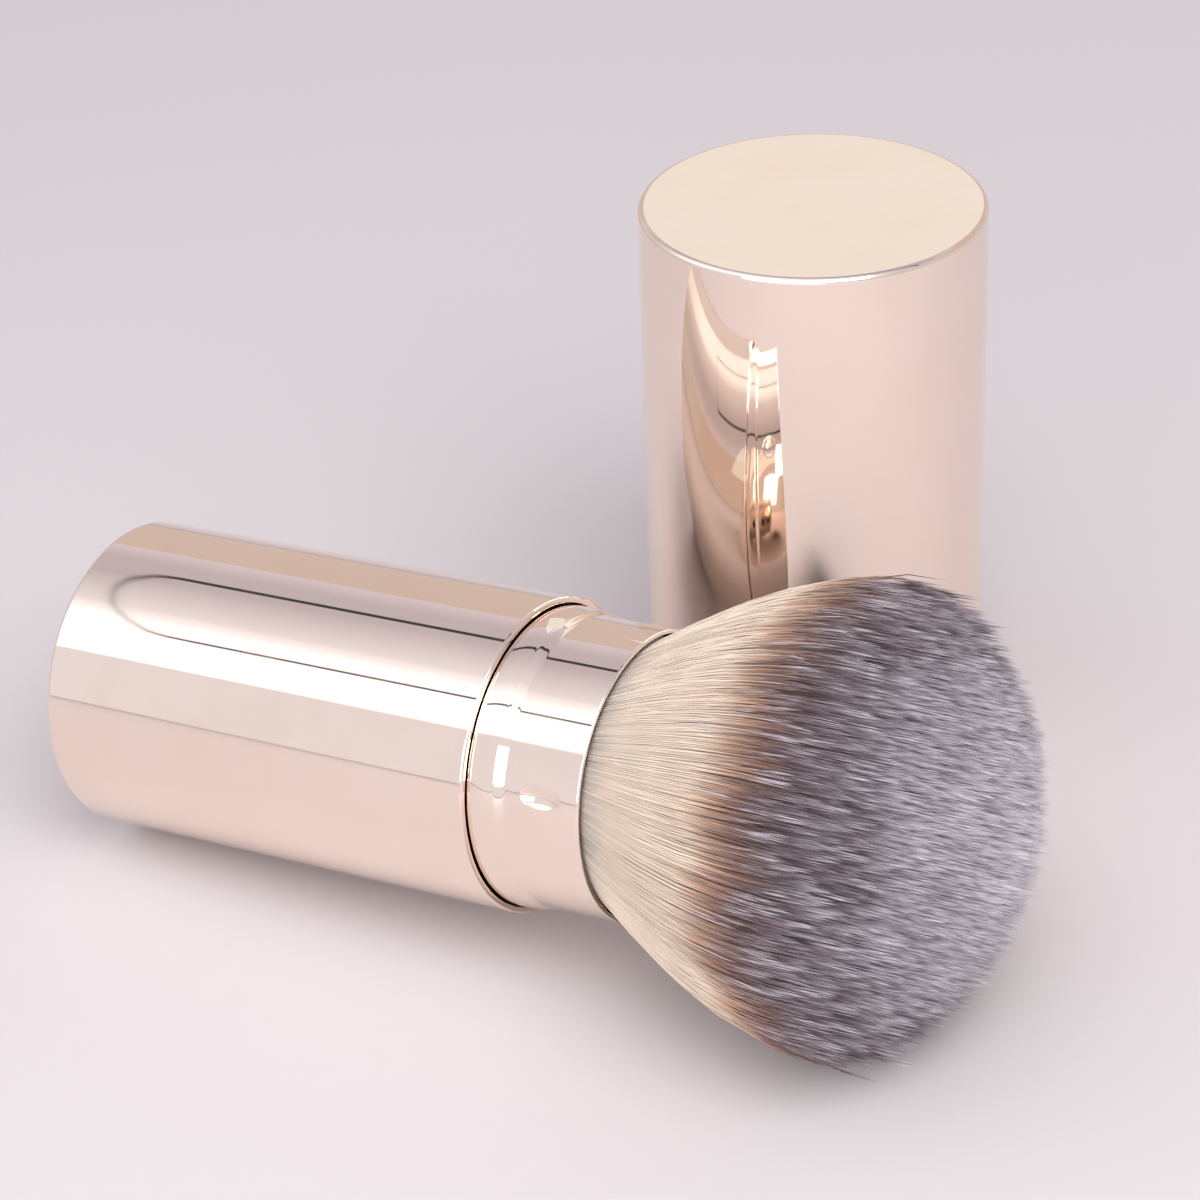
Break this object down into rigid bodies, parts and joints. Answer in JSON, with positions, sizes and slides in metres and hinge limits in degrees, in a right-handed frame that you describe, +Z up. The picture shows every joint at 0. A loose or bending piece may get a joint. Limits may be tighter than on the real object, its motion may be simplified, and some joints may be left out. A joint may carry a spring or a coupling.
{
  "type": "retractable makeup brush",
  "caption": "Short domed face brush in a sliding metal sleeve, lying on its sleeve rim and bristles, with its round metal cap standing beside it.",
  "frame": {"origin": "centre of the bounding box's base, on the surface that the brush and cap stand on", "axes": "+X along the brush in plan, rear to bristles; +Y from the brush to the cap; +Z up"},
  "size_m": [0.111, 0.096, 0.065],
  "materials": {
    "rose_aluminium": "polished rose-gold anodising",
    "taklon_fibre": "two-tone synthetic fibre, cream root, brown band, lilac-grey tips",
    "black_acetal": "moulded",
    "silicone": "moulded",
    "epoxy": "cast",
    "white_abs": "moulded",
    "zinc_steel": "zinc plated",
    "grey_foam": "closed-cell foam"
  },
  "bodies": {
    "core": {"ferrule": "rose_aluminium", "bristles": "taklon_fibre", "epoxy_plug": "epoxy", "head_carrier": "white_abs", "slide_collar": "black_acetal", "front_brake_ring": "silicone", "rear_brake_ring": "silicone", "base_insert": "white_abs", "carrier_screw": "zinc_steel", "base_cup": "rose_aluminium", "base_weight": "zinc_steel", "weight_pad": "grey_foam"},
    "sleeve": {"sliding_sleeve": "rose_aluminium"},
    "cap": {"cap_shell": "rose_aluminium", "cap_liner": "white_abs", "cap_pad": "grey_foam"}
  },
  "joints": [
    {"name": "sleeve_slide", "type": "slide", "parent": "core", "child": "sleeve", "axis": [0.9959, 0, 0.091], "range_m": [0, 0.0411], "deforming": ["bristles"]},
    {"name": "cap_lift", "type": "slide", "parent": "core", "child": "cap", "axis": [0, 0, 1], "range_m": [0, 0.08]}
  ]
}
